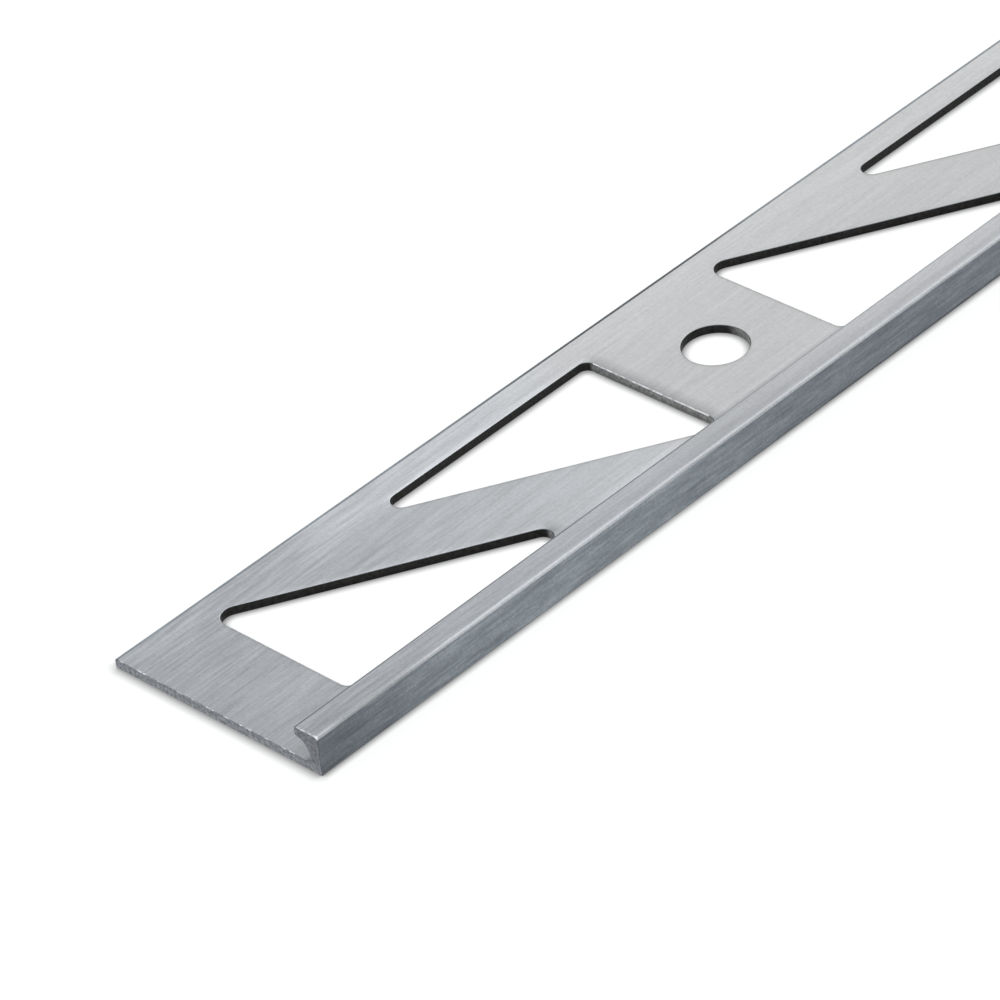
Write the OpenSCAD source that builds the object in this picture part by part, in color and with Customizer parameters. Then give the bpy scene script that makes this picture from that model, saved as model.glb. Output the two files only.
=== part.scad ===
// Edge profile: an aluminium angle with a low upright leg that ends in a hooked
// nose, and a wide flat leg pierced with pairs of triangles and round nail holes.
// X runs along the length, Y from the upright face to the free edge, Z up.
// The origin is the middle of the underside of the whole length.

/* [Overall] */
// Length the bar is sold in
length = 1000; // [200:50:3000]
// Width over the flat leg, from the upright face to the free edge
width = 27.5; // [20:0.5:60]
// Height over the nose
height = 4.5; // [3:0.5:20]

/* [Section] */
// Thickness of the flat leg
leg_t = 1.0; // [0.6:0.1:2.5]
// Width of the nose, the strip that stays in sight
nose_w = 3.0; // [1.5:0.1:5]
// Thickness left at the tip of the nose
tip_t = 1.05; // [0.4:0.05:1.5]
// Thickness of the upright at its thinnest
web_t = 1.3; // [0.8:0.1:3]
// Inside radius between the upright and the flat leg
root_r = 0.75; // [0.2:0.05:1]
// Radius of the upper outer edge
nose_r = 0.3; // [0.1:0.05:0.6]
// Radius of the two edges of the nose tip
tip_edge_r = 0.2; // [0.1:0.05:0.3]
// Radius of the two free edges of the flat leg
free_r = 0.2; // [0.1:0.05:0.4]

/* [Cut-outs] */
// Plain land at each end of the bar
end_land = 10; // [4:0.5:30]
// Distance between repeats that the layout aims at
pitch_aim = 71.4; // [60:0.1:120]
// Plain bridge between two pairs of triangles, with the nail hole in it
bridge = 19.2; // [12:0.1:40]
// Leg of a triangle along the bar
tri_x = 32.2; // [15:0.1:40]
// Leg of a triangle across the bar
tri_y = 19.3; // [8:0.1:30]
// Strip left between the long triangle and the free edge
rim_w = 3.7; // [2:0.1:10]
// Strip left between the other triangle and the upright face
heel_w = 6.2; // [4:0.1:15]
// Corner radius at the right angle
square_r = 1.0; // [0.5:0.1:3]
// Corner radius at the sharp tip
tip_r = 1.2; // [0.5:0.1:3]
// Corner radius at the blunt tip
blunt_r = 1.6; // [0.5:0.1:3]

/* [Nail holes] */
// Diameter of a round nail hole
hole_d = 7.0; // [3:0.1:12]
// Distance of the hole centres from the upright face
hole_y = 14.8; // [8:0.1:30]

/* [Hidden] */
over = 1;
cells = max(1, round((length - 2 * end_land + bridge) / pitch_aim));
pitch = (length - 2 * end_land + bridge) / cells;
cell_len = pitch - bridge;
slant = atan(tri_y / tri_x);
tip_run = tip_r / tan(slant / 2);
blunt_run = blunt_r / tan((90 - slant) / 2);
// The hollow under the nose is one round through the web's thinnest line and
// the lower corner of the nose tip, with its middle level with the root's
hollow_z = leg_t + root_r;
tip_z = height - tip_t;
hollow_r = (pow(nose_w - web_t, 2) + pow(tip_z - hollow_z, 2)) / (2 * (nose_w - web_t));
hollow_y = web_t + hollow_r;
// The small round at the hollow's foot touches it and the flat leg
root_z = leg_t + root_r;
root_y = hollow_y - sqrt(pow(hollow_r - root_r, 2) - pow(root_z - hollow_z, 2));
meet_y = hollow_y + (root_y - hollow_y) * hollow_r / (hollow_r - root_r);
meet_z = hollow_z + (root_z - hollow_z) * hollow_r / (hollow_r - root_r);
// The round on the tip's lower edge touches the hollow and the tip's face
edge_y = nose_w - tip_edge_r;
edge_z = hollow_z + sqrt(pow(hollow_r + tip_edge_r, 2) - pow(edge_y - hollow_y, 2));
touch_y = hollow_y + (edge_y - hollow_y) * hollow_r / (hollow_r + tip_edge_r);
touch_z = hollow_z + (edge_z - hollow_z) * hollow_r / (hollow_r + tip_edge_r);

// The hollow between the nose and the flat leg, in the section
module hollow() {
    intersection() {
        translate([hollow_y, hollow_z]) circle(r = hollow_r, $fn = 96);
        translate([0, leg_t]) square([nose_w + over, height]);
    }
}

// The metal that rounds the hollow's foot off
module root_fill() {
    difference() {
        polygon([[web_t / 2, leg_t / 2], [root_y, leg_t / 2], [root_y, leg_t],
                 [meet_y, meet_z], [web_t / 2, meet_z]]);
        translate([root_y, root_z]) circle(r = root_r, $fn = 48);
    }
}

// The upright with its nose
module upright() {
    difference() {
        union() {
            polygon([[0, 0], [nose_w, 0], [nose_w, height - tip_edge_r],
                     [nose_w - tip_edge_r, height], [nose_r, height],
                     [0, height - nose_r]]);
            translate([nose_r, height - nose_r]) circle(r = nose_r, $fn = 48);
            translate([edge_y, height - tip_edge_r]) circle(r = tip_edge_r, $fn = 48);
        }
        hollow();
        polygon([[touch_y, touch_z], [edge_y, edge_z], [nose_w + over, edge_z],
                 [nose_w + over, hollow_z], [touch_y, hollow_z]]);
    }
    translate([edge_y, edge_z]) circle(r = tip_edge_r, $fn = 48);
    root_fill();
}

// The flat leg with its two free edges rounded
module flat_leg() {
    polygon([[web_t / 2, 0], [width - free_r, 0], [width, free_r],
             [width, leg_t - free_r], [width - free_r, leg_t], [web_t / 2, leg_t]]);
    translate([width - free_r, free_r]) circle(r = free_r, $fn = 48);
    translate([width - free_r, leg_t - free_r]) circle(r = free_r, $fn = 48);
}

// The whole section, Y to the right and Z up
module section() {
    upright();
    flat_leg();
}

// One triangle with its right angle at the origin and three rounded corners
module triangle() {
    polygon([[square_r, 0], [tri_x - tip_run, 0],
             [tri_x - tip_run * cos(slant), tip_run * sin(slant)],
             [blunt_run * cos(slant), tri_y - blunt_run * sin(slant)],
             [0, tri_y - blunt_run], [0, square_r]]);
    translate([square_r, square_r]) circle(r = square_r, $fn = 64);
    translate([tri_x - tip_run, tip_r]) circle(r = tip_r, $fn = 64);
    translate([blunt_r, tri_y - blunt_run]) circle(r = blunt_r, $fn = 64);
}

// The two triangles of one repeat, the second turned half round
module pair() {
    translate([0, heel_w]) triangle();
    translate([cell_len, width - rim_w]) rotate(180) triangle();
}

// The bar itself
module edge_profile() {
    color([0.72, 0.74, 0.75])
    translate([-length / 2, -width / 2, 0])
    difference() {
        rotate([90, 0, 90]) linear_extrude(length) section();
        for (i = [0 : cells - 1])
            translate([end_land + i * pitch, 0, -over])
                linear_extrude(leg_t + 2 * over) pair();
        if (cells > 1)
            for (i = [1 : cells - 1])
                translate([end_land + i * pitch - bridge / 2, hole_y, -over])
                    cylinder(h = leg_t + 2 * over, d = hole_d, $fn = 64);
    }
}

edge_profile();
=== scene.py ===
"""The looks of a brushed aluminium edge profile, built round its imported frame.

The bar lies on its flat leg along X, with its sawn near end at the low X end, its plain
upright face towards -Y and its free edge towards +Y. The bar's own sizes are in
millimetres, and its finished mesh is scaled to the frame's metres. Where a finish changes
from place to place on the bar, the places are in those metres.
"""
from __future__ import annotations

import logging
import math
from abc import ABC, abstractmethod
from dataclasses import dataclass, field
from enum import IntEnum
from typing import Callable

import bmesh
import bpy
from mathutils import Euler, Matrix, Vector, noise
from mathutils.geometry import delaunay_2d_cdt

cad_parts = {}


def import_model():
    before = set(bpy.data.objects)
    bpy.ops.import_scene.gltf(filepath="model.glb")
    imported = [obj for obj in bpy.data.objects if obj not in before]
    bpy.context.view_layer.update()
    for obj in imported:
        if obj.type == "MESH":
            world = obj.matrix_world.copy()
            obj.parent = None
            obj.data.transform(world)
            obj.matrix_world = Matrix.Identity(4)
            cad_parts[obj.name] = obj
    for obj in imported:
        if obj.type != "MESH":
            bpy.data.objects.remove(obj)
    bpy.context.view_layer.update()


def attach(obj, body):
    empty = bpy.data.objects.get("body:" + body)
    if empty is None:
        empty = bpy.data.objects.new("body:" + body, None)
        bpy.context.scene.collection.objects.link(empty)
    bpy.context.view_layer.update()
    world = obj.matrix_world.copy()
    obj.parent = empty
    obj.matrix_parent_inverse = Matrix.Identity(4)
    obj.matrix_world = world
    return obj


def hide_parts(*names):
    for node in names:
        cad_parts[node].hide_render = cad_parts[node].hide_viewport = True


LOG = logging.getLogger("edge_profile")
MM = 0.001
NODE = "edge_profile"
BODY = "root"
# names of the attributes that the bar's faces and vertices carry
ZONE = "zone"
SPAN = "span"
RIM_PAINTED_LIGHT = "rim_painted_light"

Point2 = tuple[float, float]
Point3 = tuple[float, float, float]
Socket = bpy.types.NodeSocket
Tree = bpy.types.NodeTree
Material = bpy.types.Material
Object = bpy.types.Object
Vert = bmesh.types.BMVert


class Zone(IntEnum):
    """Which finish a face of the bar takes."""

    BRUSHED = 0
    PUNCHED = 1
    SAWN = 2
    UPRIGHT = 3
    NOSE = 4
    EDGE = 5
    SHADE_LINE = 6
    FREE_EDGE = 7
    TIP_EDGE = 8
    BURR = 9
    SAWN_EDGE = 10
    MILL = 11
    RUBBED_SAWN = 12


class Span(IntEnum):
    """Which stretch of the bar a face belongs to."""

    NEAR_END = 0
    REPEAT = 1
    FAR_END = 2


# what the edge of a sawn end becomes beside each skin; beside any other skin it is a dark line of painted
# shade
WORN = {Zone.NOSE: Zone.RUBBED_SAWN, Zone.EDGE: Zone.RUBBED_SAWN, Zone.BRUSHED: Zone.SAWN_EDGE}


def linear(code: str) -> tuple[float, float, float, float]:
    """Turn an sRGB hex colour into linear RGBA.

    Args:
        code: Six hex digits, such as "B4B8BA".

    Returns:
        The linear colour with an alpha of 1.
    """
    parts = [int(code[i:i + 2], 16) / 255 for i in (0, 2, 4)]
    r, g, b = (p / 12.92 if p <= 0.04045 else ((p + 0.055) / 1.055) ** 2.4 for p in parts)
    return r, g, b, 1.0


def add_node(tree: Tree, kind: str, feeds: dict[str | int, object] | None = None,
             **settings: object) -> bpy.types.Node:
    """Add one node, with its settings, values and links.

    Args:
        tree: The shader or geometry tree.
        kind: The node's type name.
        feeds: Input name or number to a value or to the output socket that feeds it.
        **settings: Attributes of the node itself.

    Returns:
        The new node.
    """
    node = tree.nodes.new(kind)
    for name, value in settings.items():
        setattr(node, name, value)
    for key, value in (feeds or {}).items():
        if isinstance(value, Socket):
            tree.links.new(value, node.inputs[key])
        else:
            node.inputs[key].default_value = value
    return node


def bare_material(name: str) -> Material:
    """A material whose node tree is still empty.

    Args:
        name: Its name.

    Returns:
        The material.
    """
    mat = bpy.data.materials.new(name)
    mat.use_nodes = True
    mat.node_tree.nodes.clear()
    return mat


def add_object(name: str, data: bpy.types.ID) -> Object:
    """Put a new object with the given data in the scene, at the origin.

    Args:
        name: Its name.
        data: Its mesh, lamp or camera.

    Returns:
        The object.
    """
    made = bpy.data.objects.new(name, data)
    bpy.context.collection.objects.link(made)
    return made


@dataclass(frozen=True)
class Ramp:
    """A soft step along one axis of a place or of a direction.

    The gate names an axis, the place on it where the step is absent and where it is full.
    """

    axis: str
    low: float
    high: float
    start: float
    end: float
    how: str = "MULTIPLY"
    gate: tuple[str, float, float] | None = None


def ramped(tree: Tree, way: Socket, ramps: tuple[Ramp, ...], level: float | Socket) -> Socket:
    """Join ramps into one level.

    Args:
        tree: The shader tree.
        way: The place or direction that they read.
        ramps: The ramps in order, at least one.
        level: The level before the first.

    Returns:
        The socket of the last level.
    """
    axis = add_node(tree, "ShaderNodeSeparateXYZ", {"Vector": way}).outputs
    soft = {"interpolation_type": "SMOOTHSTEP"}
    for ramp in ramps:
        step = {"Value": axis[ramp.axis], "From Min": ramp.low, "From Max": ramp.high,
                "To Min": ramp.start, "To Max": ramp.end}
        part = add_node(tree, "ShaderNodeMapRange", step, **soft).outputs["Result"]
        if ramp.gate:
            name, absent, full = ramp.gate
            opening = {"Value": axis[name], "From Min": absent, "From Max": full}
            share = add_node(tree, "ShaderNodeMapRange", opening, **soft).outputs["Result"]
            part = add_node(tree, "ShaderNodeMix", {"Factor": share, "A": 1.0, "B": part},
                            data_type="FLOAT").outputs["Result"]
        level = add_node(tree, "ShaderNodeMath", {0: part, 1: level}, operation=ramp.how).outputs["Value"]
    return level


@dataclass(frozen=True)
class Section:
    """The bar's section in the YZ plane, from the upright face (y = 0) to the free edge."""

    width: float = 27.5
    height: float = 4.5
    leg: float = 1.0
    nose: float = 3.0
    tip: float = 1.05
    web: float = 1.3
    root_round: float = 0.75
    nose_round: float = 0.3
    free_round: float = 0.2
    tip_round: float = 0.2
    foot_round: float = 0.1
    # flat strips beside the free edge's and the tip's rounds that share their finish and its painted shade
    free_strip: float = 0.22
    tip_strip: float = 0.05
    # chords in the small rounds, the foot, the larger rounds and the hollow
    edge_chords: int = 4
    foot_chords: int = 3
    round_chords: int = 6
    hollow_chords: int = 14

    def arc(self, middle: Point2, radius: float, start: float, end: float, chords: int) -> list[Point2]:
        """Points along an arc, both ends included.

        Args:
            middle: The arc's centre.
            radius: Its radius.
            start: Start angle in degrees.
            end: End angle in degrees.
            chords: How many chords it has.

        Returns:
            The points in order.
        """
        turns = [math.radians(start + (end - start) * i / chords) for i in range(chords + 1)]
        return [(middle[0] + radius * math.cos(a), middle[1] + radius * math.sin(a)) for a in turns]

    def hollow(self) -> tuple[list[Point2], list[Point2]]:
        """The undercut below the nose and the round at its foot.

        Returns:
            Points from under the nose's tip to the thinnest place, and from there down to
            the flat leg.
        """
        mid_z = self.leg + self.root_round
        tip_z = self.height - self.tip
        run = self.nose - self.web
        big = (run ** 2 + (tip_z - mid_z) ** 2) / (2 * run)
        mid_y = self.web + big
        edge_y = self.nose - self.tip_round
        edge_z = mid_z + math.sqrt((big + self.tip_round) ** 2 - (edge_y - mid_y) ** 2)
        turn = math.degrees(math.atan2(edge_z - mid_z, edge_y - mid_y))
        edge = self.arc((edge_y, edge_z), self.tip_round, 0, turn - 180, self.edge_chords)
        upper = self.arc((mid_y, mid_z), big, turn, 180, self.hollow_chords)
        lower = self.arc((self.web + self.root_round, mid_z), self.root_round, 180, 270, self.round_chords)
        return edge[:-1] + upper[:-1], lower

    def outline(self) -> tuple[list[Point2], list[Zone], int, int]:
        """The closed outline, clockwise with Y to the right and Z up.

        Returns:
            The points, the finish of the chord that starts at each, the number of the point
            that starts the flat leg's top and that of the one that starts its underside.
        """
        fr, nr, tr, foot = self.free_round, self.nose_round, self.tip_round, self.foot_round
        small = self.edge_chords
        under_nose, root = self.hollow()
        # each run of points, the finish of its own chords and that of the chord after it
        runs = [
            ([(self.width - fr - self.free_strip, self.leg)]
             + self.arc((self.width - fr, self.leg - fr), fr, 90, 0, small), Zone.FREE_EDGE, Zone.FREE_EDGE),
            (self.arc((self.width - fr, fr), fr, 0, -90, small), Zone.SHADE_LINE, Zone.MILL),
            # the foot's round takes the walls' painted near black, a painted contact shadow along the foot
            (self.arc((foot, foot), foot, 270, 180, self.foot_chords), Zone.PUNCHED, Zone.UPRIGHT),
            (self.arc((nr, self.height - nr), nr, 180, 90, self.round_chords), Zone.EDGE, Zone.NOSE),
            ([(self.nose - tr - self.tip_strip, self.height)]
             + self.arc((self.nose - tr, self.height - tr), tr, 90, 0, small), Zone.TIP_EDGE, Zone.TIP_EDGE),
            (under_nose, Zone.MILL, Zone.MILL),
            (root, Zone.BRUSHED, Zone.BRUSHED),
        ]
        points: list[Point2] = []
        finishes: list[Zone] = []
        for run, inner, after in runs:
            points += run
            finishes += [inner] * (len(run) - 1) + [after]
        # the outline starts at the free edge, so the flat leg's top is its last chord
        return points, finishes, len(points) - 1, len(runs[0][0]) + len(runs[1][0]) - 1


@dataclass(frozen=True)
class CutOut:
    """A loop of arcs punched through the flat leg, which can be drawn wider by a margin.

    Each arc is its centre, its radius and its start and end angle in degrees.
    """

    arcs: tuple[tuple[Point2, float, float, float], ...]
    chords: int = 9

    def loop(self, margin: float) -> list[Point2]:
        """The loop's points, anticlockwise seen from above.

        Args:
            margin: How far outside the real loop the points lie.

        Returns:
            The points, the same number for every margin.
        """
        out: list[Point2] = []
        for (x, y), radius, start, end in self.arcs:
            for i in range(self.chords + 1):
                if end - start >= 360 and i == self.chords:
                    continue
                a = math.radians(start + (end - start) * i / self.chords)
                out.append((x + (radius + margin) * math.cos(a), y + (radius + margin) * math.sin(a)))
        return out

    def turned(self, corner: Point2, half_turn: bool) -> CutOut:
        """The same loop at another place.

        Args:
            corner: Where the loop's own origin goes.
            half_turn: Whether the loop is turned half round first.

        Returns:
            The placed loop.
        """
        sign, spin = (-1, 180) if half_turn else (1, 0)
        placed = tuple(((corner[0] + sign * x, corner[1] + sign * y), r, a + spin, b + spin)
                       for (x, y), r, a, b in self.arcs)
        return CutOut(placed, self.chords)


@dataclass(frozen=True)
class Pattern:
    """Where the cut-outs and nail holes lie along the flat leg."""

    length: float = 1000.0
    end_land: float = 10.0
    bridge: float = 19.2
    repeats: int = 14
    run: float = 32.2
    rise: float = 19.3
    rim: float = 3.7
    heel: float = 6.2
    square_round: float = 1.0
    tip_round: float = 1.2
    blunt_round: float = 1.6
    hole_radius: float = 3.5
    hole_y: float = 14.8
    hole_chords: int = 48
    # plain leg between the seam of two stretches and the next cut-out
    lead: float = 4.0

    @property
    def pitch(self) -> float:
        """Distance from one repeat to the next."""
        return (self.length - 2 * self.end_land + self.bridge) / self.repeats

    @property
    def first_seam(self) -> float:
        """Where the near end stretch stops and the first repeat starts."""
        return self.end_land - self.lead

    def triangle(self) -> CutOut:
        """One triangle with its right angle at the origin.

        Returns:
            The loop with its three rounded corners.
        """
        slant = math.degrees(math.atan2(self.rise, self.run))
        tip_run = self.tip_round / math.tan(math.radians(slant / 2))
        blunt_run = self.blunt_round / math.tan(math.radians((90 - slant) / 2))
        return CutOut((
            ((self.square_round, self.square_round), self.square_round, 180, 270),
            ((self.run - tip_run, self.tip_round), self.tip_round, 270, 450 - slant),
            ((self.blunt_round, self.rise - blunt_run), self.blunt_round, 90 - slant, 180),
        ))

    def pair(self, width: float) -> list[CutOut]:
        """The two triangles of the first repeat.

        Args:
            width: Width over the flat leg.

        Returns:
            Both loops, placed.
        """
        tri = self.triangle()
        far = self.end_land + self.pitch - self.bridge
        return [tri.turned((self.end_land, self.heel), False),
                tri.turned((far, width - self.rim), True)]

    def nail_hole(self) -> CutOut:
        """The round hole in the bridge behind the first pair."""
        x = self.end_land + self.pitch - self.bridge / 2
        return CutOut((((x, self.hole_y), self.hole_radius, 0, 360),), self.hole_chords)


@dataclass(frozen=True)
class SawnEdge:
    """How far the edge of a sawn end is eased, and how ragged the saw left it."""

    # plain skin starts this far from the end, and the edge has a point at each step
    run: float = 1.0
    step: float = 0.2
    ease: float = 0.06
    rubbed_ease: float = 0.13
    least_ease: float = 0.03
    ease_swing: float = 0.5
    inset_share: float = 0.55
    inset_limit: float = 0.09
    inset_ragged: float = 0.1
    # the raggedness joins long waves and short teeth, each with its rate in a millimetre and share
    ragged: float = 0.05
    wave_rate: float = 2.3
    wave_share: float = 0.6
    tooth_rate: float = 9.1
    tooth_share: float = 0.9
    seed: float = 3.7

    def small_steps(self, outline: list[Point2]) -> tuple[list[Point2], list[int]]:
        """Divide an outline into small steps.

        Args:
            outline: The closed outline.

        Returns:
            The points, and for each the number of the chord that it lies on.
        """
        fine: list[Point2] = []
        owner: list[int] = []
        for i, (a, b) in enumerate(zip(outline, outline[1:] + outline[:1])):
            steps = max(1, round(math.dist(a, b) / self.step))
            fine += [(a[0] + (b[0] - a[0]) * k / steps, a[1] + (b[1] - a[1]) * k / steps)
                     for k in range(steps)]
            owner += [i] * steps
        return fine, owner

    def setback(self, p: Point2, x: float, rubbed: bool) -> Point2:
        """How far the edge stands back at one point of the outline.

        Args:
            p: The point.
            x: Where the end lies, so that the two ends differ.
            rubbed: Whether the edge is rubbed rounder there.

        Returns:
            The distance back from the sawn face, and the face's inset from the outline.
        """
        wave = noise.noise(Vector((p[0] * self.wave_rate, p[1] * self.wave_rate, self.seed + x)))
        tooth = noise.noise(Vector((p[0] * self.tooth_rate, p[1] * self.tooth_rate, self.seed - x)))
        rough = self.ragged * (self.wave_share * wave + self.tooth_share * tooth)
        ease = (self.rubbed_ease if rubbed else self.ease) * (1 + self.ease_swing * wave)
        inset = self.inset_share * min(ease, self.inset_limit) + self.inset_ragged * rough
        return max(self.least_ease, ease + rough), inset


@dataclass
class Bar:
    """The bar's stretches as one mesh: a near end, one repeat and a far end."""

    section: Section = field(default_factory=Section)
    pattern: Pattern = field(default_factory=Pattern)
    saw: SawnEdge = field(default_factory=SawnEdge)
    # distance from a cut-out's rim, then the share of the painted light band, of the painted dark band
    # and of the painted dark line that is left there
    rim_bands: tuple[tuple[float, float, float, float], ...] = (
        (1.6, 0.0, 0.0, 0.0), (0.8, 0.0, 0.4, 0.0), (0.3, 0.6, 0.75, 0.1), (0.0, 1.0, 1.0, 1.0))
    # strength of the painted dark band, the turn towards the far end that it starts at, and the painted
    # line's strength
    dark_band: float = 4.8
    dark_from: float = 0.7
    dark_line: float = 0.75
    rolled_rim: float = 0.11
    broken_rim: float = 0.03
    rim_turns: tuple[int, ...] = (30, 60, 90)
    # a wall square across the bar is longer than a chord of a corner and drifts less than this along it
    cross_length: float = 2.0
    cross_drift: float = 0.01
    # a chord shorter than this is part of an arc, and an edge that turns less, in degrees, is smooth
    arc_chord: float = 0.3
    smooth_turn: float = 40.0
    fill_precision: float = 1e-7

    def __post_init__(self) -> None:
        """Set the working mesh up."""
        self.outline, self.skins, self.top_start, self.under_start = self.section.outline()
        self.bm = bmesh.new()
        self.zone = self.bm.faces.layers.int.new(ZONE)
        self.span = self.bm.faces.layers.int.new(SPAN)
        self.rim_painted_light = self.bm.verts.layers.float.new(RIM_PAINTED_LIGHT)

    def vert(self, x: float, p: Point2) -> Vert:
        """A vertex at a place along the bar and a point of the section."""
        return self.bm.verts.new((x, p[0], p[1]))

    def face(self, verts: list[Vert], zone: Zone, span: Span, smooth: bool = False) -> None:
        """Add one face and note its finish and stretch.

        Args:
            verts: Its corners, anticlockwise from outside.
            zone: The finish.
            span: The stretch of the bar.
            smooth: Whether it belongs to a curve.
        """
        made = self.bm.faces.new(verts)
        made[self.zone] = int(zone)
        made[self.span] = int(span)
        made.smooth = smooth

    def curved(self, i: int) -> bool:
        """Whether the outline's chord that starts at point i is a piece of an arc."""
        a, b = self.outline[i], self.outline[(i + 1) % len(self.outline)]
        return math.dist(a, b) < self.arc_chord and i != self.top_start

    def ring(self, x: float) -> list[Vert]:
        """The outline's vertices at one place along the bar."""
        return [self.vert(x, p) for p in self.outline]

    def fill(self, verts: list[Vert], flat: list[Point2], edges: list[tuple[int, int]],
             keep: Callable[[Vector], bool], left: bool, zone: Zone, span: Span) -> None:
        """Fill a flat area with triangles.

        Args:
            verts: The vertices to use.
            flat: Each one's place in the plane.
            edges: Pairs that must stay edges.
            keep: Whether a point of the plane is part of the area.
            left: Whether the faces turn anticlockwise in the plane.
            zone: The finish.
            span: The stretch of the bar.
        """
        points = [Vector(p) for p in flat]
        spots, _, tris, origin, _, _ = delaunay_2d_cdt(points, edges, [], 0, self.fill_precision)
        used = [verts[ids[0]] if ids else None for ids in origin]
        for tri in tris:
            a, b, c = (spots[i] for i in tri)
            if None in (used[i] for i in tri) or not keep((a + b + c) / 3):
                continue
            ring = [used[i] for i in tri]
            if ((b - a).cross(c - a) > 0) != left:
                ring.reverse()
            self.face(ring, zone, span)

    def sheet(self, rings: tuple[list[Vert], list[Vert]], start: int, z: float, loops: list[CutOut],
              span: Span) -> list[list[Vert]]:
        """Fill one flat side of the leg between two rings, round its cut-outs.

        Args:
            rings: The outline's vertices at the stretch's low and high end.
            start: The outline point where the side starts.
            z: Height of the side, 0 for the underside.
            loops: The cut-outs in this stretch.
            span: The stretch of the bar.

        Returns:
            The vertices round each cut-out on this side.
        """
        low, high = rings
        after = (start + 1) % len(self.outline)
        verts = [low[start], high[start], high[after], low[after]]
        edges = [(i, (i + 1) % 4) for i in range(4)]
        margin = self.rolled_rim + self.rim_bands[0][0] if z else self.broken_rim
        holes = [loop.loop(margin) for loop in loops]
        rims: list[list[Vert]] = []
        for hole in holes:
            base = len(verts)
            rim = [self.bm.verts.new((x, y, z)) for x, y in hole]
            edges += [(base + i, base + (i + 1) % len(rim)) for i in range(len(rim))]
            verts += rim
            rims.append(rim)
        self.fill(verts, [(v.co.x, v.co.y) for v in verts], edges,
                  lambda p: not any(inside(p, hole) for hole in holes), z > 0,
                  Zone.BRUSHED if z else Zone.MILL, span)
        return rims

    def rim_rows(self, loop: CutOut, top: list[Vert], under: list[Vert]) -> list[list[Vert]]:
        """The rows of vertices round a cut-out, from the leg's top to its underside.

        Args:
            loop: The cut-out.
            top: Its vertices on the leg's top.
            under: Its vertices on the underside.

        Returns:
            The rows of the bands, of the rolled rim and of the crisp lower rim.
        """
        leg = self.section.leg
        rows = [top]
        for reach, *_ in self.rim_bands[1:]:
            rows.append([self.bm.verts.new((x, y, leg)) for x, y in loop.loop(self.rolled_rim + reach)])
        for r, z, sign, turns in ((self.rolled_rim, leg, -1, self.rim_turns),
                                  (self.broken_rim, 0.0, 1, self.rim_turns[::-1])):
            for a in (math.radians(turn) for turn in turns):
                rows.append([self.bm.verts.new((x, y, z + sign * r * (1 - math.cos(a))))
                             for x, y in loop.loop(r * (1 - math.sin(a)))])
        return rows + [under]

    def tone_rims(self, rows: list[list[Vert]], triangle: bool) -> None:
        """Note the painted light and shade round a cut-out.

        A painted light band lies by the rims towards the free edge, a painted dark one by those
        towards the far end, and a painted dark line by the rims on the near and outer side.

        Args:
            rows: The cut-out's rows of vertices.
            triangle: Whether it is a triangle, since a nail hole has the dark line alone.
        """
        rim = rows[len(self.rim_bands) - 1]
        # the two rows below the rim keep its tone
        bands = self.rim_bands + self.rim_bands[-1:] * 2
        for i, outer in enumerate(rows[0]):
            away = (outer.co - rim[i].co).normalized()
            light = max(0.0, away.y) if triangle else 0.0
            dark = self.dark_band * max(0.0, away.x - self.dark_from) if triangle else 0.0
            line = self.dark_line * max(0.0, -away.x - away.y)
            for row, (_, a, b, c) in zip(rows, bands):
                row[i][self.rim_painted_light] = a * light - b * dark - c * line

    def walls(self, loop: CutOut, top: list[Vert], under: list[Vert], span: Span) -> None:
        """One cut-out: the bands of painted light and shade round it, a rolled rim, the wall and a crisp
        lower rim.

        Args:
            loop: The cut-out.
            top: Its vertices on the leg's top.
            under: Its vertices on the underside.
            span: The stretch of the bar.
        """
        triangle = len(loop.arcs) > 1
        rows = self.rim_rows(loop, top, under)
        self.tone_rims(rows, triangle)
        bands, count = len(self.rim_bands) - 1, len(top)
        # a rolled rim runs from the leg through a dark line of painted shade into the wall's painted near
        # black
        rolled, torn = [Zone.BRUSHED, Zone.SHADE_LINE, Zone.PUNCHED], [Zone.BURR] * 3
        for i in range(count):
            j = (i + 1) % count
            run = rows[bands][j].co - rows[bands][i].co
            cross = triangle and abs(run.x) < self.cross_drift and run.length > self.cross_length
            zones = [Zone.BRUSHED] * bands + (torn if cross else rolled)
            zones += [Zone.PUNCHED] * (len(rows) - 1 - len(zones))
            for k, (a, b) in enumerate(zip(rows, rows[1:])):
                self.face([a[i], a[j], b[j], b[i]], zones[k], span, k >= bands)

    def stretch(self, low: list[Vert], high: list[Vert], loops: list[CutOut], span: Span) -> None:
        """Build the bar's skin between two rings.

        Args:
            low: The ring at the low X end.
            high: The ring at the high X end.
            loops: The cut-outs between them.
            span: The stretch of the bar.
        """
        n = len(self.outline)
        for i in range(n):
            if i not in (self.top_start, self.under_start):
                j = (i + 1) % n
                self.face([low[i], high[i], high[j], low[j]], self.skins[i], span, self.curved(i))
        tops = self.sheet((low, high), self.top_start, self.section.leg, loops, span)
        unders = self.sheet((low, high), self.under_start, 0.0, loops, span)
        for loop, top, under in zip(loops, tops, unders):
            self.walls(loop, top, under, span)

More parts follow.
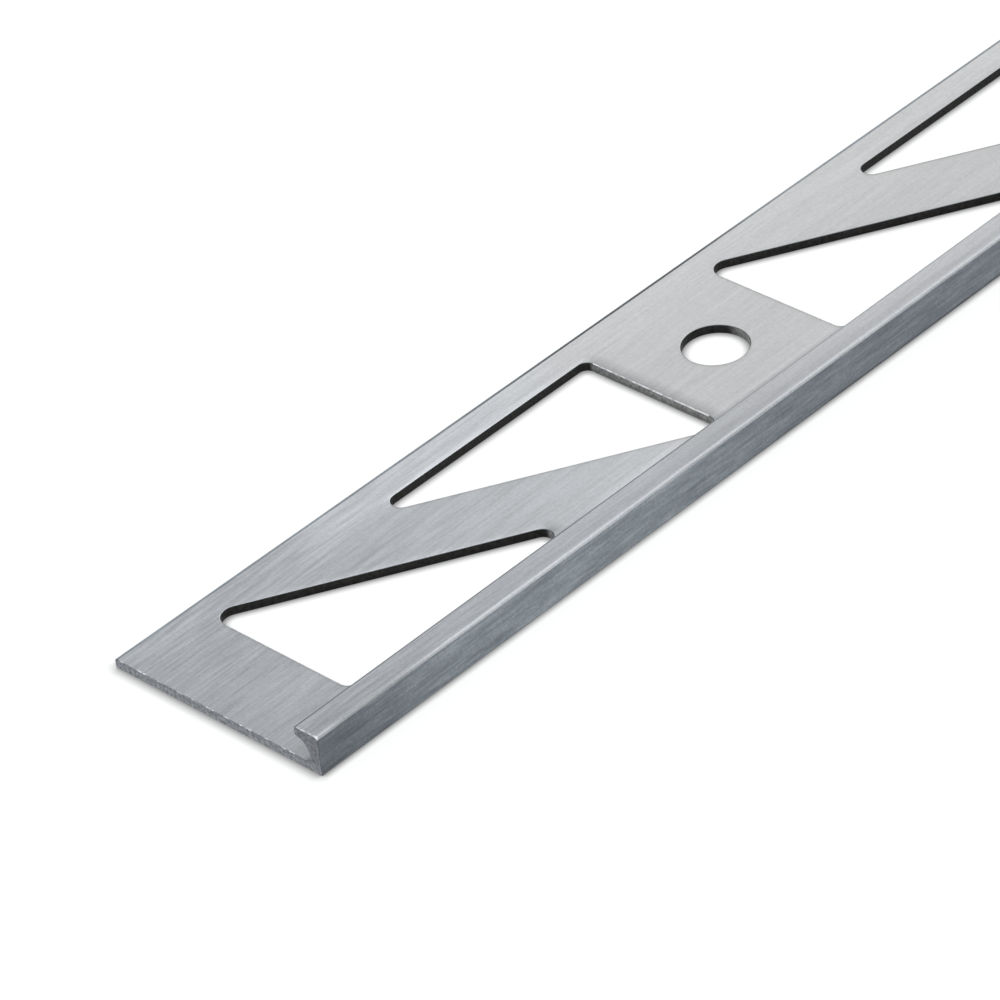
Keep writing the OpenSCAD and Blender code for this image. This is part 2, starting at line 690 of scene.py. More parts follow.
    def sawn_end(self, x: float, into: int, span: Span) -> list[Vert]:
        """One sawn end: its face, eased and slightly ragged along the edge.

        Args:
            x: Where the end lies.
            into: 1 where the bar runs to higher X, -1 where it runs to lower X.
            span: The stretch of the bar.

        Returns:
            The outline's vertices where the plain skin starts.
        """
        n = len(self.outline)
        ring = self.ring(x + into * self.saw.run)
        fine, owner = self.saw.small_steps(self.outline)
        m = len(fine)
        worn = [WORN.get(self.skins[i], Zone.SHADE_LINE) for i in owner]
        edge, face_rim = [], []
        for k, p in enumerate(fine):
            before, after = fine[k - 1], fine[(k + 1) % m]
            run = Vector((after[0] - before[0], after[1] - before[1])).normalized()
            back, inset = self.saw.setback(p, x, worn[k] == Zone.RUBBED_SAWN)
            edge.append(self.vert(x + into * back, p))
            face_rim.append(self.vert(x, (p[0] + run.y * inset, p[1] - run.x * inset)))
        for k in range(m):
            j = (k + 1) % m
            quad = [face_rim[k], edge[k], edge[j], face_rim[j]]
            self.face(quad if into > 0 else quad[::-1], worn[k], span)
        for i in range(n):
            mine = [k for k in range(m) if owner[k] == i]
            side = [ring[i], ring[(i + 1) % n], edge[(mine[-1] + 1) % m]] + [edge[k] for k in mine[::-1]]
            self.face(side if into > 0 else side[::-1], self.skins[i], span, self.curved(i))
        self.cap(face_rim, into, span)
        return ring

    def cap(self, rim: list[Vert], into: int, span: Span) -> None:
        """Fill a sawn face inside its rim.

        Args:
            rim: The rim's vertices in order.
            into: 1 where the bar runs to higher X, -1 where it runs to lower X.
            span: The stretch of the bar.
        """
        loop = [(v.co.y, v.co.z) for v in rim]
        edges = [(i, (i + 1) % len(rim)) for i in range(len(rim))]
        self.fill(rim, loop, edges, lambda p: inside(p, loop), into < 0, Zone.SAWN, span)

    def build(self) -> bpy.types.Mesh:
        """Make the near end, one repeat and the far end, which stands behind that repeat.

        Returns:
            The mesh in metres, with the bar's near end at X = 0.
        """
        pat, width = self.pattern, self.section.width
        seam, pitch = pat.first_seam, pat.pitch
        near = self.sawn_end(0.0, 1, Span.NEAR_END)
        self.stretch(near, self.ring(seam), [], Span.NEAR_END)
        self.stretch(self.ring(seam), self.ring(seam + pitch), pat.pair(width) + [pat.nail_hole()],
                     Span.REPEAT)
        far = self.sawn_end(pat.length - (pat.repeats - 2) * pitch, -1, Span.FAR_END)
        last = [loop.turned((pitch, 0.0), False) for loop in pat.pair(width)]
        self.stretch(self.ring(seam + pitch), far, last, Span.FAR_END)
        self.bm.normal_update()
        for edge in self.bm.edges:
            edge.smooth = (len(edge.link_faces) != 2
                           or edge.calc_face_angle() < math.radians(self.smooth_turn))
        bmesh.ops.scale(self.bm, vec=(MM,) * 3, verts=self.bm.verts)
        mesh = bpy.data.meshes.new("bar_stretches")
        self.bm.to_mesh(mesh)
        self.bm.free()
        return mesh


def inside(p: Vector, loop: list[Point2]) -> bool:
    """Whether a point lies inside a closed loop.

    Args:
        p: The point.
        loop: The loop's corners.

    Returns:
        True where it does.
    """
    hit = False
    for (x0, y0), (x1, y1) in zip(loop, loop[1:] + loop[:1]):
        if (y0 > p.y) != (y1 > p.y) and p.x < x0 + (p.y - y0) * (x1 - x0) / (y1 - y0):
            hit = not hit
    return hit


def repeating_tree(dress: dict[Zone, Material]) -> Tree:
    """The tree that copies the repeat along the bar, moves the far end out and dresses all.

    Args:
        dress: The material of each zone.

    Returns:
        The geometry tree.
    """
    tree = bpy.data.node_groups.new("repeat_along_bar", "GeometryNodeTree")
    for name, kind, way in (("Bar", "NodeSocketGeometry", "INPUT"), ("Repeats", "NodeSocketInt", "INPUT"),
                            ("Pitch", "NodeSocketFloat", "INPUT"), ("Weld", "NodeSocketFloat", "INPUT"),
                            ("Move", "NodeSocketVector", "INPUT"), ("Bar", "NodeSocketGeometry", "OUTPUT")):
        tree.interface.new_socket(name, in_out=way, socket_type=kind)
    given = add_node(tree, "NodeGroupInput").outputs
    zone, span = (add_node(tree, "GeometryNodeInputNamedAttribute", {"Name": name},
                           data_type="INT").outputs["Attribute"] for name in (ZONE, SPAN))

    def equal(attribute: Socket, value: IntEnum) -> Socket:
        """Whether a face's attribute has one value."""
        return add_node(tree, "FunctionNodeCompare", {2: attribute, 3: int(value)}, data_type="INT",
                        operation="EQUAL").outputs["Result"]

    def only(which: Span) -> Socket:
        """The faces of one stretch of the bar."""
        return add_node(tree, "GeometryNodeSeparateGeometry", {
            "Geometry": given["Bar"], "Selection": equal(span, which)}, domain="FACE").outputs["Selection"]

    step = add_node(tree, "ShaderNodeCombineXYZ", {"X": given["Pitch"]}).outputs["Vector"]
    line = add_node(tree, "GeometryNodeMeshLine", {"Count": given["Repeats"], "Offset": step}, mode="OFFSET")
    copies = add_node(tree, "GeometryNodeInstanceOnPoints", {
        "Points": line.outputs["Mesh"], "Instance": only(Span.REPEAT)}).outputs["Instances"]
    extra = add_node(tree, "ShaderNodeMath", {0: given["Repeats"], 1: 1.0},
                     operation="SUBTRACT").outputs["Value"]
    out = add_node(tree, "ShaderNodeVectorMath", {0: step, "Scale": extra}, operation="SCALE")
    far = add_node(tree, "GeometryNodeTransform", {
        "Geometry": only(Span.FAR_END), "Translation": out.outputs["Vector"]}).outputs["Geometry"]
    joined = add_node(tree, "GeometryNodeJoinGeometry")
    for part in (far, copies, only(Span.NEAR_END)):
        tree.links.new(part, joined.inputs["Geometry"])
    real = add_node(tree, "GeometryNodeRealizeInstances", {"Geometry": joined.outputs["Geometry"]})
    welded = add_node(tree, "GeometryNodeMergeByDistance", {
        "Geometry": real.outputs["Geometry"], "Distance": given["Weld"]})
    last = add_node(tree, "GeometryNodeTransform", {
        "Geometry": welded.outputs["Geometry"], "Translation": given["Move"]}).outputs["Geometry"]
    for which, material in dress.items():
        last = add_node(tree, "GeometryNodeSetMaterial", {
            "Geometry": last, "Selection": equal(zone, which), "Material": material}).outputs["Geometry"]
    add_node(tree, "NodeGroupOutput", {"Bar": last})
    return tree


class Aluminium(ABC):
    """A finish of the bar's bare metal, of which each kind adds its own colour and relief."""

    name: str

    @abstractmethod
    def feeds(self, tree: Tree) -> dict[str, object]:
        """Name each input of the metal shader and the value or socket that feeds it."""

    def make(self) -> Material:
        """Build the material.

        Returns:
            The material.
        """
        mat = bare_material(self.name)
        tree = mat.node_tree
        shader = add_node(tree, "ShaderNodeBsdfPrincipled", {"Metallic": 1.0, **self.feeds(tree)})
        add_node(tree, "ShaderNodeOutputMaterial", {"Surface": shader.outputs["BSDF"]})
        return mat


@dataclass(frozen=True)
class BrushedAluminium(Aluminium):
    """Natural aluminium brushed along the bar: fine lines, long soft streaks, a satin sheen."""

    name: str = "brushed_aluminium"
    colour: str = "BABBBD"
    light_line: str = "C8C9CB"
    dark_line: str = "ABACAE"
    roughness: float = 0.38
    rough_swing: float = 0.06
    anisotropy: float = 0.8
    # lengths in millimetres and how many lie side by side in one: the brush lines are about
    # 0.3 mm wide, coarser than real so that they show, and the streaks about 1 mm
    line_length: float = 5.0
    line_rate: float = 3.6
    streak_length: float = 25.0
    streak_rate: float = 1.0
    streaks: float = 0.35
    # round grain about 0.3 mm across breaks the lines up
    grain_rate: float = 3.4
    grain: float = 0.3
    dark_at: float = 0.3
    light_at: float = 0.7
    bump_depth: float = 0.02
    # strength of the painted light and shade round the cut-outs, and how the light and the dark ones change
    # along the bar
    rims: float = 0.0
    light_ramps: tuple[Ramp, ...] = (
        Ramp("X", -0.488, -0.480, 0.2, 1.0), Ramp("X", -0.470, -0.462, 1.0, 0.72),
        Ramp("X", -0.45, -0.425, 1.0, -0.28))
    dark_ramps: tuple[Ramp, ...] = (Ramp("X", -0.432, -0.420, 1.0, 1.3),)
    ramps: tuple[Ramp, ...] = ()
    # the metal is a shade warmer further from the near end
    far_tint: str | None = None
    tint_ramp: Ramp = Ramp("X", -0.455, -0.425, 0.0, 1.0)

    def lines(self, tree: Tree, place: Socket) -> tuple[Socket, Socket]:
        """The brushed pattern.

        Args:
            tree: The shader tree.
            place: The place on the bar.

        Returns:
            The sockets of the fine brush lines and of the colour that lines, streaks and grain give.
        """
        across, broad_across = self.line_rate / MM, self.streak_rate / MM
        fine_map = add_node(tree, "ShaderNodeMapping", {
            "Vector": place, "Scale": (1 / (self.line_length * MM), across, across)}).outputs["Vector"]
        fine = add_node(tree, "ShaderNodeTexNoise", {
            "Vector": fine_map, "Scale": 1.0, "Detail": 2.0, "Roughness": 0.45}).outputs["Fac"]
        broad_map = add_node(tree, "ShaderNodeMapping", {
            "Vector": place, "Scale": (1 / (self.streak_length * MM), broad_across, broad_across)})
        broad = add_node(tree, "ShaderNodeTexNoise", {
            "Vector": broad_map.outputs["Vector"], "Scale": 1.0, "Detail": 3.0, "Roughness": 0.55})
        mixed = add_node(tree, "ShaderNodeMix", {
            "Factor": self.streaks, "A": fine, "B": broad.outputs["Fac"]}, data_type="FLOAT")
        specks = add_node(tree, "ShaderNodeTexNoise", {
            "Vector": place, "Scale": self.grain_rate / MM, "Detail": 2.0, "Roughness": 0.5})
        grained = add_node(tree, "ShaderNodeMix", {
            "Factor": self.grain, "A": mixed.outputs["Result"], "B": specks.outputs["Fac"]},
            data_type="FLOAT")
        tone = add_node(tree, "ShaderNodeValToRGB", {"Fac": grained.outputs["Result"]})
        ramp = tone.color_ramp
        ramp.elements[0].position, ramp.elements[0].color = self.dark_at, linear(self.dark_line)
        ramp.elements[1].position, ramp.elements[1].color = self.light_at, linear(self.light_line)
        middle = ramp.elements.new((self.dark_at + self.light_at) / 2)
        middle.color = linear(self.colour)
        return fine, tone.outputs["Color"]

    def rim_level(self, tree: Tree, place: Socket) -> Socket:
        """How much painted light and shade the leg has round the cut-outs.

        Args:
            tree: The shader tree.
            place: The place on the bar.

        Returns:
            The socket of the level, which is 1 away from the rims.
        """
        tone = add_node(tree, "ShaderNodeAttribute", attribute_name=RIM_PAINTED_LIGHT).outputs["Fac"]
        light, dark = (add_node(tree, "ShaderNodeMath", {0: tone, 1: 0.0}, operation=how).outputs["Value"]
                       for how in ("MAXIMUM", "MINIMUM"))
        both = add_node(tree, "ShaderNodeMath", {
            0: ramped(tree, place, self.light_ramps, light),
            1: ramped(tree, place, self.dark_ramps, dark)}, operation="ADD").outputs["Value"]
        return add_node(tree, "ShaderNodeMath", {0: both, 1: self.rims, 2: 1.0},
                        operation="MULTIPLY_ADD").outputs["Value"]

    def feeds(self, tree: Tree) -> dict[str, object]:
        """Add the finish's own nodes, on Object coordinates.

        Args:
            tree: The shader tree.

        Returns:
            Each input of the metal shader and what feeds it.
        """
        place = add_node(tree, "ShaderNodeTexCoord").outputs["Object"]
        fine, tone = self.lines(tree, place)
        level = ramped(tree, place, self.ramps, 1.0)
        if self.rims:
            level = add_node(tree, "ShaderNodeMath", {0: level, 1: self.rim_level(tree, place)},
                             operation="MULTIPLY").outputs["Value"]
        colour = add_node(tree, "ShaderNodeVectorMath", {0: tone, "Scale": level},
                          operation="SCALE").outputs["Vector"]
        if self.far_tint:
            share = ramped(tree, place, (self.tint_ramp,), 1.0)
            tint = add_node(tree, "ShaderNodeMix", {0: share, 6: linear("FFFFFF"), 7: linear(self.far_tint)},
                            data_type="RGBA").outputs[2]
            colour = add_node(tree, "ShaderNodeVectorMath", {0: colour, 1: tint},
                              operation="MULTIPLY").outputs["Vector"]
        rough = add_node(tree, "ShaderNodeMapRange", {
            "Value": fine, "From Min": self.dark_at, "From Max": self.light_at,
            "To Min": self.roughness - self.rough_swing, "To Max": self.roughness + self.rough_swing})
        bump = add_node(tree, "ShaderNodeBump", {
            "Height": fine, "Strength": 0.25, "Distance": self.bump_depth * MM})
        # the sheen spreads across the brush lines, which run along the bar
        along = add_node(tree, "ShaderNodeVectorTransform", {"Vector": (1.0, 0.0, 0.0)},
                         vector_type="VECTOR", convert_from="OBJECT", convert_to="WORLD")
        return {"Base Color": colour, "Roughness": rough.outputs["Result"],
                "Anisotropic": self.anisotropy, "Anisotropic Rotation": 0.25,
                "Tangent": along.outputs["Vector"], "Normal": bump.outputs["Normal"]}


@dataclass(frozen=True)
class PlainAluminium(Aluminium):
    """Aluminium as it left the die, with no pattern: an even, dull grey."""

    name: str
    colour: str
    roughness: float

    def feeds(self, tree: Tree) -> dict[str, object]:
        """The even colour and roughness, which need no nodes of their own."""
        return {"Base Color": linear(self.colour), "Roughness": self.roughness}


@dataclass(frozen=True)
class PunchedAluminium(Aluminium):
    """The sheared wall of a punched cut-out: rough, painted near black as shade, and painted greyer, as
    light, where it turns away from the upright.
    """

    name: str = "punched_wall"
    colour: str = "2B2A29"
    grey: str = "7B7B7A"
    roughness: float = 0.62
    # painted light: the wall greys where it turns away from the upright
    turn: Ramp = Ramp("Y", -0.4, 0.05, 0.0, 1.0, "ADD")
    # the sheared part above is lighter than the torn part below, along a line as uneven as this, in mm
    shear: Ramp = Ramp("Z", 0.0004, 0.0011, 0.8, 1.18)
    uneven: float = 0.6
    # ribs about 0.4 mm apart run down the wall, under torn flecks about 0.4 mm across
    rib_rate: float = 2.5
    rib_drop_rate: float = 0.3
    rib_depth: float = 0.04
    fleck_rate: float = 2.6
    fleck_dark: float = 0.72
    fleck_light: float = 1.3

    def feeds(self, tree: Tree) -> dict[str, object]:
        """Add the finish's own nodes, on Object coordinates.

        Args:
            tree: The shader tree.

        Returns:
            Each input of the metal shader and what feeds it.
        """
        coords = add_node(tree, "ShaderNodeTexCoord").outputs
        across = ramped(tree, coords["Normal"], (self.turn,), 0.0)
        base = add_node(tree, "ShaderNodeMix", {0: across, 6: linear(self.colour), 7: linear(self.grey)},
                        data_type="RGBA").outputs[2]
        mapped = add_node(tree, "ShaderNodeMapping", {
            "Vector": coords["Object"],
            "Scale": (self.rib_rate / MM, self.rib_rate / MM, self.rib_drop_rate / MM)})
        ribs = add_node(tree, "ShaderNodeTexNoise", {
            "Vector": mapped.outputs["Vector"], "Scale": 1.0, "Detail": 2.0})
        uneven = add_node(tree, "ShaderNodeVectorMath", {
            0: ribs.outputs["Color"], 1: (0.0, 0.0, self.uneven * MM), 2: coords["Object"]},
            operation="MULTIPLY_ADD").outputs["Vector"]
        grit = add_node(tree, "ShaderNodeTexNoise", {
            "Vector": coords["Object"], "Scale": self.fleck_rate / MM, "Detail": 3.0}).outputs["Fac"]
        flecks = add_node(tree, "ShaderNodeMapRange", {
            "Value": grit, "From Min": 0.35, "From Max": 0.65,
            "To Min": self.fleck_dark, "To Max": self.fleck_light}).outputs["Result"]
        level = ramped(tree, uneven, (self.shear,), flecks)
        colour = add_node(tree, "ShaderNodeVectorMath", {0: base, "Scale": level}, operation="SCALE")
        bump = add_node(tree, "ShaderNodeBump", {
            "Height": ribs.outputs["Fac"], "Strength": 0.5, "Distance": self.rib_depth * MM})
        return {"Base Color": colour.outputs["Vector"], "Roughness": self.roughness,
                "Normal": bump.outputs["Normal"]}


@dataclass(frozen=True)
class CutAluminium(Aluminium):
    """Sawn or torn aluminium: a matt grey ground with lighter flecks and fine upright lines."""

    name: str
    colour: str
    fleck: str
    # how many flecks lie side by side in a millimetre: at 1.5 to 2.6 they are 0.4 to 0.7 mm across
    fleck_rate: float
    fleck_start: float
    fleck_full: float
    roughness: float
    ramps: tuple[Ramp, ...] = ()
    # saw lines about 0.25 mm apart across the bar, coarser than real so that they show
    line_rates: Point3 = (0.6, 4.0, 0.9)
    line_depth: float = 0.05

    def feeds(self, tree: Tree) -> dict[str, object]:
        """Add the finish's own nodes, on Object coordinates.

        Args:
            tree: The shader tree.

        Returns:
            Each input of the metal shader and what feeds it.
        """
        place = add_node(tree, "ShaderNodeTexCoord").outputs["Object"]
        mapped = add_node(tree, "ShaderNodeMapping", {
            "Vector": place, "Scale": tuple(rate / MM for rate in self.line_rates)})
        lines = add_node(tree, "ShaderNodeTexNoise", {
            "Vector": mapped.outputs["Vector"], "Scale": 1.0, "Detail": 3.0})
        grit = add_node(tree, "ShaderNodeTexNoise", {
            "Vector": place, "Scale": self.fleck_rate / MM, "Detail": 3.0})
        tone = add_node(tree, "ShaderNodeValToRGB", {"Fac": grit.outputs["Fac"]})
        ends = tone.color_ramp.elements
        ends[0].position, ends[0].color = self.fleck_start, linear(self.colour)
        ends[1].position, ends[1].color = self.fleck_full, linear(self.fleck)
        colour = tone.outputs["Color"]
        if self.ramps:
            level = ramped(tree, place, self.ramps, 1.0)
            colour = add_node(tree, "ShaderNodeVectorMath", {0: colour, "Scale": level},
                              operation="SCALE").outputs["Vector"]
        bump = add_node(tree, "ShaderNodeBump", {
            "Height": lines.outputs["Fac"], "Strength": 0.6, "Distance": self.line_depth * MM})
        return {"Base Color": colour, "Roughness": self.roughness, "Normal": bump.outputs["Normal"]}


@dataclass
class DressedBar:
    """The visible bar, which stands for the frame's node."""

    bar: Bar = field(default_factory=Bar)
    name: str = "brushed_edge_profile"
    weld: float = 0.004
    # painted light and shade on the leg: lighter towards its free edge, most of all from two to five
    # centimetres in, and from six on a little darker inwards of its middle; its strip beside the nose
    # turns light at four and a half and dark at five and a half, and by the sawn end it is light below the
    # nose
    leg_ramps: tuple[Ramp, ...] = (
        Ramp("Y", 0.006, 0.0125, 1.0, 1.08), Ramp("X", -0.435, -0.39, 1.0, 0.94),
        Ramp("Y", 0.005, 0.0110, 1.0, 1.10, gate=("X", -0.483, -0.470)),
        Ramp("Y", 0.005, 0.0110, 1.0, 0.88, gate=("X", -0.456, -0.430)),
        Ramp("Y", 0.001, 0.0070, 0.955, 1.0, gate=("X", -0.445, -0.432)),
        Ramp("Y", -0.0074, -0.0064, 1.2, 1.0, gate=("X", -0.458, -0.452)),
        Ramp("Y", -0.0074, -0.0067, 0.73, 1.0, gate=("X", -0.446, -0.438)),
        Ramp("Y", -0.0111, -0.0102, 1.1, 1.0, gate=("X", -0.490, -0.496)))
    # the outer edge's painted highlight is weak for the first centimetre, but for its very end, and a
    # little weaker again from four centimetres in
    edge_ramps: tuple[Ramp, ...] = (
        Ramp("X", -0.492, -0.480, 0.72, 1.04), Ramp("X", -0.475, -0.44, 1.0, 0.88),
        Ramp("X", -0.4988, -0.4962, 1.28, 1.0))
    # painted shade and highlight on the nose: darker beside its outer edge and lighter right at it, and
    # darker and lighter again along the bar
    nose_ramps: tuple[Ramp, ...] = (
        Ramp("Y", -0.01300, -0.0118, 0.91, 1.0), Ramp("Y", -0.01345, -0.01315, 1.12, 1.0),
        Ramp("X", -0.485, -0.445, 1.05, 0.95), Ramp("X", -0.452, -0.445, 1.0, 0.93),
        Ramp("X", -0.437, -0.428, 1.0, 1.075))
    # painted shade: the nose tip is a dark line for the first five to six centimetres
    tip_ramps: tuple[Ramp, ...] = (Ramp("X", -0.446, -0.438, 0.6, 1.0),)
    # painted light and shade along the free edge: light, then dark for a few centimetres, then light again
    free_ramps: tuple[Ramp, ...] = (
        Ramp("X", -0.49, -0.46, 1.37, 1.10), Ramp("X", -0.462, -0.435, 1.0, 0.38),
        Ramp("X", -0.418, -0.405, 1.0, 2.4))
    # the sawn face is lighter towards its foot
    end_ramps: tuple[Ramp, ...] = (Ramp("Z", 0.0003, 0.0015, 1.35, 1.0),)
    # painted light and shade on the upright: dull by the sawn end, lightest two to four centimetres in
    # and then duller, with a painted shadow as a dark line along its foot there
    face_ramps: tuple[Ramp, ...] = (
        Ramp("X", -0.498, -0.480, 0.77, 1.27), Ramp("X", -0.456, -0.426, 1.0, 0.76),
        Ramp("Z", 0.0, 0.003, 1.03, 1.0), Ramp("Z", 0.0001, 0.0005, 0.5, 1.0, gate=("X", -0.447, -0.415)))

    def finishes(self) -> dict[Zone, Aluminium]:
        """Name the bar's finishes.

        Returns:
            The finish of each zone.
        """
        return {
            # the flat leg's top: pale, satin, with painted light and shade round its cut-outs
            Zone.BRUSHED: BrushedAluminium(rims=0.24, ramps=self.leg_ramps, far_tint="FFFDFA"),
            # the walls of the cut-outs: painted near black as shade, since little light reaches them, and
            # painted greyer where they turn away from the upright
            Zone.PUNCHED: PunchedAluminium(),
            # the torn upper edge of the walls across the bar: light and flecked
            Zone.BURR: CutAluminium("sheared_burr", "AEB0B1", "E2E3E4", fleck_rate=1.5, fleck_start=0.36,
                                    fleck_full=0.56, roughness=0.35),
            # a sawn end: mid grey and matt, and its upper edge dull with bright flecks
            Zone.SAWN: CutAluminium("sawn_end", "67696D", "8C8E92", fleck_rate=2.6, fleck_start=0.36,
                                    fleck_full=0.66, roughness=0.55, ramps=self.end_ramps),
            Zone.SAWN_EDGE: CutAluminium("sawn_edge", "8A8D8F", "F0F1F2", fleck_rate=1.7,
                                         fleck_start=0.55, fleck_full=0.66, roughness=0.4),
            # the upright: brushed in shorter streaks, and painted darker, a painted reflection of the dim
            # horizon
            Zone.UPRIGHT: BrushedAluminium("brushed_upright_face", "757B80", "93999E", "5A6065",
                                           line_length=3.0, streak_length=8.0, streaks=0.4, grain=0.25,
                                           ramps=self.face_ramps),
            # the nose's top: brushed like the leg, with painted shade a little darker
            Zone.NOSE: BrushedAluminium("brushed_nose_top", "B2B3B6", "C2C3C6", "A1A2A5",
                                        ramps=self.nose_ramps, far_tint="FFFEFC"),
            # the outer edge's round: lighter, a painted highlight
            Zone.EDGE: BrushedAluminium("painted_highlight_edge", "BBBDBF", "CCCDCE", "A6A8AA",
                                        ramps=self.edge_ramps),
            # small rounds: a dark line of painted shade
            Zone.SHADE_LINE: PlainAluminium("painted_shade_edge", "5E6265", roughness=0.45),
            # the free edge's and the nose tip's rounds: grey lines of painted shade
            Zone.FREE_EDGE: BrushedAluminium("painted_shade_free_edge", "888D91", "979DA1", "787E82",
                                             roughness=0.45, ramps=self.free_ramps),
            Zone.TIP_EDGE: BrushedAluminium("painted_shade_nose_tip", "989B9E", "A0A3A6", "909396",
                                            roughness=0.45, ramps=self.tip_ramps),
            # the underside and the hollow, never brushed
            Zone.MILL: PlainAluminium("mill_finish", "989B9E", roughness=0.5),
            # the nose's sawn edge, rubbed to a light line
            Zone.RUBBED_SAWN: CutAluminium("rubbed_sawn_edge", "ABADAF", "E0E1E2", fleck_rate=1.7,
                                           fleck_start=0.40, fleck_full=0.64, roughness=0.42),
        }

    def make(self) -> Object:
        """Build the bar, repeat its pattern and turn the result into a plain mesh.

        Returns:
            The finished object, at the origin.
        """
        rough = add_object("bar_stretches", self.bar.build())
        dress = {zone: finish.make() for zone, finish in self.finishes().items()}
        for material in dress.values():
            rough.data.materials.append(material)
        tree = repeating_tree(dress)
        modifier = rough.modifiers.new("repeat_along_bar", "NODES")
        modifier.node_group = tree
        pat, section = self.bar.pattern, self.bar.section
        # the near end and each repeat but the last, which the far end's stretch brings along
        values = {"Repeats": pat.repeats - 1, "Pitch": pat.pitch * MM, "Weld": self.weld * MM,
                  "Move": (-pat.length / 2 * MM, -section.width / 2 * MM, 0.0)}
        for item in tree.interface.items_tree:
            if item.in_out == "INPUT" and item.name in values:
                modifier[item.identifier] = values[item.name]
        graph = bpy.context.evaluated_depsgraph_get()
        mesh = bpy.data.meshes.new_from_object(rough.evaluated_get(graph), depsgraph=graph)
        mesh.name = self.name
        bpy.data.objects.remove(rough)
        return add_object(self.name, mesh)


@dataclass(frozen=True)
class SoftLamp:
    """A soft rectangular lamp above and behind the bar's free edge, in metres and watts."""

    name: str = "long_softbox"
    place: Point3 = (0.2, 0.35, 0.35)
    aim: Point3 = (0.2, 0.0, 0.0)
    size: Point2 = (0.64, 0.7)
    power: float = 0.8
    colour: str = "FFFEFC"

    def hang(self) -> None:
        """Make the lamp and face it to what it lights."""
        data = bpy.data.lights.new(self.name, "AREA")
        data.shape, data.energy = "RECTANGLE", self.power
        data.size, data.size_y = self.size
        data.color = linear(self.colour)[:3]
        made = add_object(self.name, data)
        made.location = self.place
        made.rotation_euler = (Vector(self.aim) - Vector(self.place)).to_track_quat("-Z", "Y").to_euler()


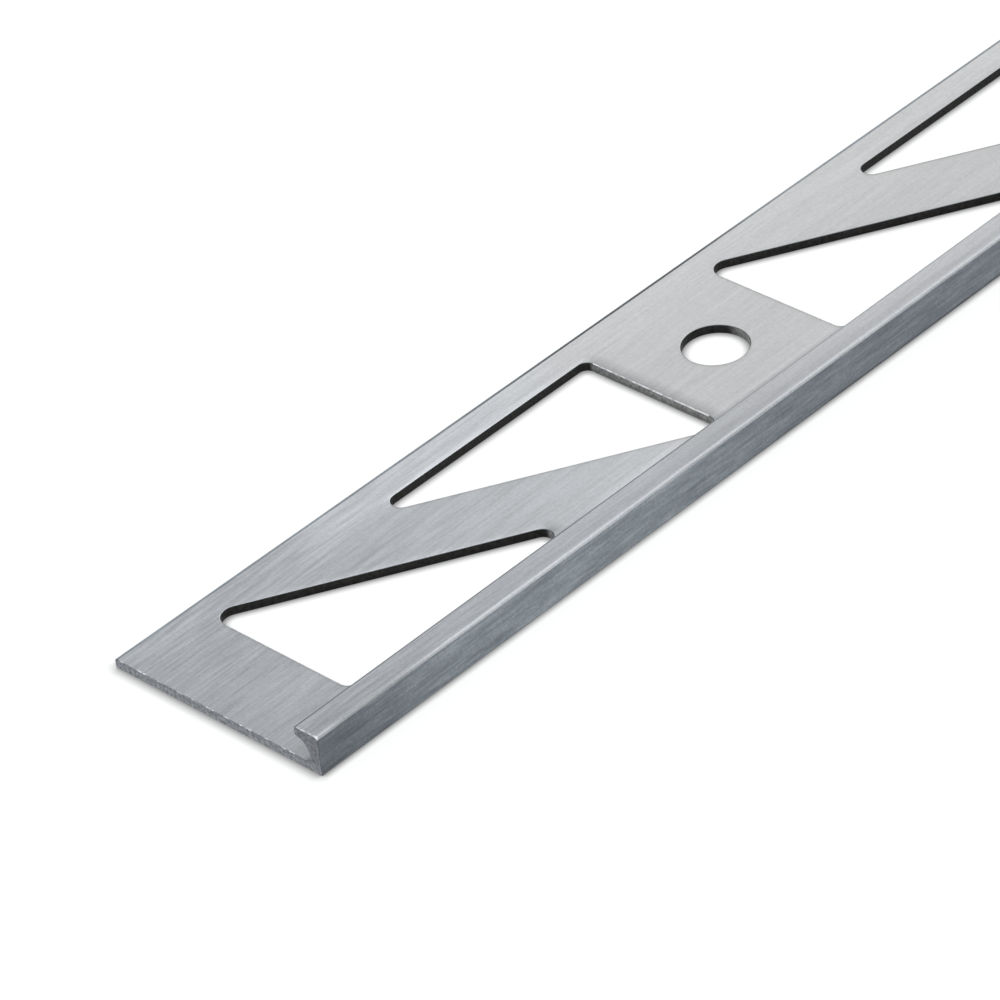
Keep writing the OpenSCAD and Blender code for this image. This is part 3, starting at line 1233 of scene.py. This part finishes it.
@dataclass(frozen=True)
class Studio:
    """The floor, the soft room, the lamp and the camera at the photographed angle, in metres."""

    floor_colour: str = "FDFDFD"
    floor_half: float = 4.0
    floor_drop: float = 0.00002
    # how far the drawn shadow reaches, further before the sawn end than beside the upright, how
    # dark it gets, and the share of open sky at which it is darkest
    shadow_reach: float = 0.00095
    reach_ramps: tuple[Ramp, ...] = (
        Ramp("X", -0.5002, -0.4998, 1.3, 1.0), Ramp("Y", -0.0139, -0.0136, 0.9, 1.0))
    shadow_depth: float = 0.34
    shadow_full: float = 0.5
    # the share of plain white in the floor, as seen and as mirrored in the metal
    seen_share: float = 0.85
    mirrored_share: float = 0.6
    # the room is bright overhead, before the upright and past both ends, and dim at the horizon
    sky_colour: str = "F8FBFE"
    sky_ramps: tuple[Ramp, ...] = (
        Ramp("Y", -0.35, 0.35, 0.95, 0.5, "ADD"), Ramp("Z", 0.6, 0.9, 0.0, 0.5, "ADD"),
        Ramp("X", 0.1, -0.4, 0.0, 0.65, "ADD"), Ramp("X", 0.40, 0.70, 1.0, 1.7),
        Ramp("Z", 0.05, 0.45, 0.15, 1.0))
    lamp: SoftLamp = SoftLamp()
    camera_place: Point3 = (-0.748470, -0.309614, 0.309850)
    camera_turn: Point3 = (53.713, 5.627, -46.989)
    lens: float = 194.59
    sensor: float = 36.0
    clip: Point2 = (0.01, 50.0)

    def floor(self) -> Object:
        """A plain pale floor.

        Returns:
            The floor object.
        """
        half, z = self.floor_half, -self.floor_drop
        corners = [(-half, -half, z), (half, -half, z), (half, half, z), (-half, half, z)]
        mesh = bpy.data.meshes.new("floor")
        mesh.from_pydata(corners, [], [(0, 1, 2, 3)])
        mesh.materials.append(self.floor_finish())
        return add_object("floor", mesh)

    def floor_finish(self) -> Material:
        """Matt white that shows as plain white, with its shadow drawn in close round the bar.

        Returns:
            The material.
        """
        mat = bare_material("matt_white_floor")
        tree = mat.node_tree
        ray = add_node(tree, "ShaderNodeLightPath").outputs
        place = add_node(tree, "ShaderNodeTexCoord").outputs["Object"]
        reach = ramped(tree, place, self.reach_ramps, self.shadow_reach)
        open_sky = add_node(tree, "ShaderNodeAmbientOcclusion", {"Distance": reach}, samples=8).outputs["AO"]
        near = add_node(tree, "ShaderNodeMapRange", {
            "Value": open_sky, "From Min": self.shadow_full, "From Max": 1.0,
            "To Min": self.shadow_depth, "To Max": 1.0}).outputs["Result"]
        tone = add_node(tree, "ShaderNodeMix", {"Factor": ray["Is Camera Ray"], "A": 1.0, "B": near},
                        data_type="FLOAT").outputs["Result"]
        colour = add_node(tree, "ShaderNodeVectorMath", {0: linear(self.floor_colour)[:3], "Scale": tone},
                          operation="SCALE").outputs["Vector"]
        matt = add_node(tree, "ShaderNodeBsdfDiffuse", {"Color": colour})
        plain = add_node(tree, "ShaderNodeEmission", {"Color": tone, "Strength": 1.0})
        seen, mirrored = (add_node(tree, "ShaderNodeMath", {0: ray[kind], 1: share},
                                   operation="MULTIPLY").outputs["Value"]
                          for kind, share in (("Is Camera Ray", self.seen_share),
                                              ("Is Glossy Ray", self.mirrored_share)))
        share = add_node(tree, "ShaderNodeMath", {0: seen, 1: mirrored}, operation="MAXIMUM").outputs["Value"]
        both = add_node(tree, "ShaderNodeMixShader", {
            0: share, 1: matt.outputs["BSDF"], 2: plain.outputs["Emission"]})
        add_node(tree, "ShaderNodeOutputMaterial", {"Surface": both.outputs["Shader"]})
        return mat

    def sky(self, scene: bpy.types.Scene) -> None:
        """The soft room round the bar.

        Args:
            scene: The scene that gets the world.
        """
        world = bpy.data.worlds.new("studio")
        scene.world = world
        world.use_nodes = True
        tree = world.node_tree
        back = tree.nodes["Background"].inputs
        way = add_node(tree, "ShaderNodeTexCoord").outputs["Generated"]
        back["Color"].default_value = linear(self.sky_colour)
        tree.links.new(ramped(tree, way, self.sky_ramps, 0.0), back["Strength"])

    def camera(self) -> Object:
        """The camera at the photographed angle.

        Returns:
            The camera object.
        """
        data = bpy.data.cameras.new("photo_angle")
        data.lens, data.sensor_width = self.lens, self.sensor
        data.clip_start, data.clip_end = self.clip
        made = add_object("photo_angle", data)
        made.location = self.camera_place
        made.rotation_euler = Euler([math.radians(a) for a in self.camera_turn], "XYZ")
        return made

    def set_up(self) -> Object:
        """Make the world, the lamp, the camera and the floor.

        Returns:
            The floor object.
        """
        scene = bpy.context.scene
        scene.view_settings.view_transform = "Standard"
        self.sky(scene)
        self.lamp.hang()
        scene.camera = self.camera()
        return self.floor()


def main() -> None:
    """Load the frame, build the bar and its studio, and declare the bar to the frame in place of its node."""
    logging.basicConfig(level=logging.INFO, format="%(message)s")
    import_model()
    bar = DressedBar().make()
    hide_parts(NODE)
    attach(bar, BODY)
    LOG.info("%s: %d faces", bar.name, len(bar.data.polygons))
    floor = Studio().set_up()
    LOG.info("%s: stage, with the lamp and the camera", floor.name)


if __name__ == "__main__":
    main()
